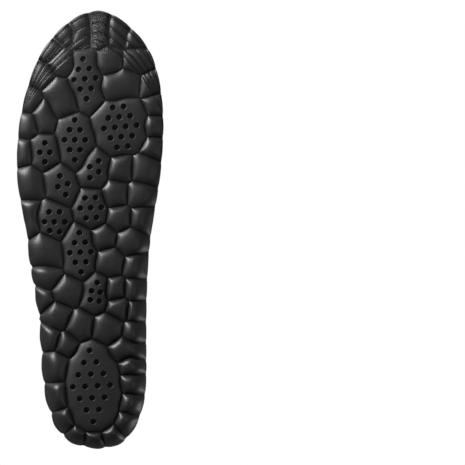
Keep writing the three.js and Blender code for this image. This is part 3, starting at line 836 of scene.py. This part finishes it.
def knit_material():
    """Black knit with a pale honeycomb: cells 7.3 mm long, in columns 5.4 mm apart."""
    m = Nodes(bpy.data.materials.new("honeycomb_knit"))
    weave = m.attribute("weave")
    across, along_foot = m.split(weave)[:2]
    wobble = m.noise(weave, 220, 2)
    px = m.math("ADD", m.math("MULTIPLY", across, 1000 / KNIT_ACROSS),
                m.math("MULTIPLY", m.math("SUBTRACT", wobble, 0.5), 0.08))
    py = m.math("MULTIPLY", along_foot, 1000 / KNIT_ALONG)
    w, h = math.sqrt(3), 1.0

    def cell(ox, oy):
        gx = m.math("SUBTRACT", m.math("FLOORED_MODULO", m.math("ADD", px, ox), w), w / 2)
        gy = m.math("SUBTRACT", m.math("FLOORED_MODULO", m.math("ADD", py, oy), h), h / 2)
        ax, ay = m.math("ABSOLUTE", gx), m.math("ABSOLUTE", gy)
        slant = m.math("ADD", m.math("MULTIPLY", ax, w / 2), m.math("MULTIPLY", ay, 0.5))
        return m.math("MAXIMUM", ay, slant)

    d = m.math("MINIMUM", cell(0, 0), cell(w / 2, h / 2))
    line = m.ramp(d, 0.462, 0.482, 0, 1)
    # knit: diagonal ribs of fine stitches
    rib = m.math("SINE", m.math("ADD", m.math("MULTIPLY", across, 9000),
                                m.math("MULTIPLY", along_foot, 9000)))
    stitch = m.math("SINE", m.math("SUBTRACT", m.math("MULTIPLY", along_foot, 14000),
                                   m.math("MULTIPLY", across, 6000)))
    yarn = m.math("MULTIPLY", m.math("ADD", m.math("MULTIPLY", rib, stitch), 1.0), 0.5)
    fuzz = m.noise(weave, 2500, 3, 0.7)
    cloud = m.noise(weave, 35, 3)
    lit = m.math("MULTIPLY", yarn, m.ramp(fuzz, 0.3, 0.7, 0.4, 1.0))
    base = m.mix(lit, grey(0.003), grey(0.013))
    base = m.mix(m.ramp(cloud, 0.35, 0.7, 0, 0.35), base, grey(0.016))
    pale = m.mix(m.ramp(fuzz, 0.3, 0.75, 0, 1), grey(0.20), grey(0.46))
    m.link(m.mix(line, base, pale), m.bsdf.inputs["Base Color"])
    m.link(m.ramp(fuzz, 0.2, 0.8, 0.72, 0.92), m.bsdf.inputs["Roughness"])
    b1 = m.bump(yarn, 0.00012, 0.8)
    b2 = m.bump(line, 0.00018, 0.8, b1)
    m.link(m.bump(fuzz, 0.00008, 0.6, b2), m.bsdf.inputs["Normal"])
    m.bsdf.inputs["Specular IOR Level"].default_value = 0.12
    m.bsdf.inputs["Sheen Weight"].default_value = 0.05
    m.bsdf.inputs["Sheen Roughness"].default_value = 0.4
    return m.owner


# ---------------------------------------------------------------- build
def flat_cut(obj):
    """(width, length) in metres, and area in square metres, of the cloth laid flat."""
    mesh = obj.data
    weave = np.zeros(len(mesh.vertices) * 3, np.float32)
    mesh.attributes["weave"].data.foreach_get("vector", weave)
    weave = weave.reshape(-1, 3)
    top = weave[:len(weave) // 2]
    width, length = (float(v) for v in (top.max(0) - top.min(0))[:2])
    area = sum(p.area for p in mesh.polygons if p.material_index == 0 and p.normal.z > 0.3)
    return (width, length), min(area, width * length)


def build_sole(mats):
    """Cobbles and pads. Each goes whole with the flex line that its middle is nearest to."""
    cells = {}
    count = len(COBBLES)
    for k in range(count + len(PADS)):
        cell = Cell(k)
        piece = int(np.searchsorted(MEETS, cell.y)) - 1
        cells.setdefault((k >= count, piece), []).append(cell)
    for piece in range(len(HINGES)):
        shell = Shell()
        for cell in cells.get((False, piece), []):
            cobble(shell, cell)
        obj = make_object(f"cobbles_{SEGMENTS[piece]}_{SEGMENTS[piece + 1]}",
                          np.concatenate(shell.co), shell.faces, shell.kind, [mats["cushion"]])
        bend(obj, piece)
        for cell in cells.get((True, piece), []):
            name, _, at, rows, pitch, turn = PADS[cell.k - count]
            shell = Shell()
            pad(shell, cell, list(hole_centres(at, rows, pitch, turn)))
            obj = make_object("perforated_" + name, np.concatenate(shell.co), shell.faces,
                              shell.kind, [mats["cushion"], mats["pad"], mats["hole"]])
            bend(obj, piece)
            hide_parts(name)


def build_layers(mats):
    """The moulding over the cobbles, the foam and the knit cover."""
    core = layer_pieces("core", 0.25, lambda x, y: top_z(x, y) - COVER - FOAM + 0.05, groove_z,
                        [mats["cushion"]], 0.5, flank=1.6)
    foam = layer_pieces("foam", 0.55, lambda x, y: top_z(x, y) - COVER + 0.02,
                        lambda x, y: top_z(x, y) - COVER - FOAM, [mats["foam"]], 0.3)
    cover = layer_pieces("cover", 0.2, top_z, lambda x, y: top_z(x, y) - COVER,
                         [mats["cover"], mats["foam"]], 0.8, kind_under=1, ends=True)
    for k in range(len(HINGES)):
        for obj, slot in ((core[k], "cushion"), (foam[k], "foam"), (cover[k], "cover")):
            bend(obj, k)
        flat, area = flat_cut(cover[k])
    # the CAD nodes of the layers are hidden, and the pieces built above show in their place
    for i, s in enumerate(SEGMENTS):
        k = min(i, len(HINGES) - 1)
        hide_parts("cushion_" + s)
        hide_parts("foam_" + s)
        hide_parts("cover_" + s)


# ---------------------------------------------------------------- floor, light, camera
def area_light(name, at, aim, size, energy):
    data = bpy.data.lights.new(name, "AREA")
    data.shape = "DISK"
    data.size = size
    data.energy = energy
    obj = bpy.data.objects.new(name, data)
    obj.location = at
    obj.rotation_euler = (Vector(aim) - Vector(at)).to_track_quat("-Z", "Y").to_euler()
    bpy.context.scene.collection.objects.link(obj)
    return obj


def build_floor():
    mesh = bpy.data.meshes.new("floor")
    r = FLOOR_HALF
    mesh.from_pydata([(-r, -r, 0), (r, -r, 0), (r, r, 0), (-r, r, 0)], [], [(0, 1, 2, 3)])
    floor = bpy.data.objects.new("floor", mesh)
    floor.location = (0, 0, FLOOR_Z)
    bpy.context.scene.collection.objects.link(floor)
    m = Nodes(bpy.data.materials.new("floor_paint"))
    cloud = m.noise(m.new("ShaderNodeTexCoord").outputs["Object"], 3, 2)
    m.link(m.mix(cloud, grey(0.80), grey(0.84)), m.bsdf.inputs["Base Color"])
    m.bsdf.inputs["Roughness"].default_value = 0.7
    mesh.materials.append(m.owner)
    floor.visible_shadow = False
    floor.visible_diffuse = False
    floor.visible_glossy = False


def build_world():
    """White to look at, soft light from above, dimmer from below and in reflections."""
    world = bpy.data.worlds.new("pale_world")
    bpy.context.scene.world = world
    w = Nodes(world)
    height = w.split(w.new("ShaderNodeTexCoord").outputs["Generated"])[2]
    ray = w.new("ShaderNodeLightPath").outputs
    strength = w.ramp(height, -0.1, 0.3, 0.06, 0.8)
    strength = w.ramp(ray["Is Glossy Ray"], 0, 1, strength, 0.16)
    strength = w.ramp(ray["Is Camera Ray"], 0, 1, strength, 1.0)
    background = w.tree.nodes["Background"]
    background.inputs[0].default_value = (1, 1, 1, 1)
    w.link(strength, background.inputs[1])


def build_lights():
    # under the sole: soft key from the toe and outer side, weak fill from the other side
    area_light("sole_key", (0.58, 0.56, -0.5), (0, 0.05, 0), 0.45, 14.5)
    area_light("sole_fill", (-0.9, -0.2, -0.9), (0, 0, 0), 0.9, 1.2)
    # over the cover, and low at both sides for the lobes
    top = area_light("top_soft", (0.1, 0.2, 1.6), (0, 0, 0), 1.2, 16)
    top.visible_glossy = False
    area_light("side_inner", (-1.1, -0.6, 0.6), (0, 0, 0), 0.5, 2)
    area_light("side_outer", (1.0, 0.7, 0.5), (0, 0, 0), 0.9, 2.4)


def build_camera():
    """It looks straight up, toe at the top of the picture, inner side to the right."""
    scene = bpy.context.scene
    data = bpy.data.cameras.new("camera")
    camera = bpy.data.objects.new("camera", data)
    scene.collection.objects.link(camera)
    scene.camera = camera
    data.sensor_width = SENSOR
    data.lens = SENSOR * CAMERA_DISTANCE / FRAME_WIDTH
    camera.location = (*CAMERA_AT, -CAMERA_DISTANCE)
    camera.rotation_euler = (0, math.pi, 0)
    data.clip_start = CAMERA_DISTANCE + FLOOR_Z + CAMERA_CUT
    data.clip_end = 50
    scene.view_settings.view_transform = "Standard"


materials = build_materials()
build_sole(materials)
build_layers(materials)
build_floor()
build_world()
build_lights()
build_camera()
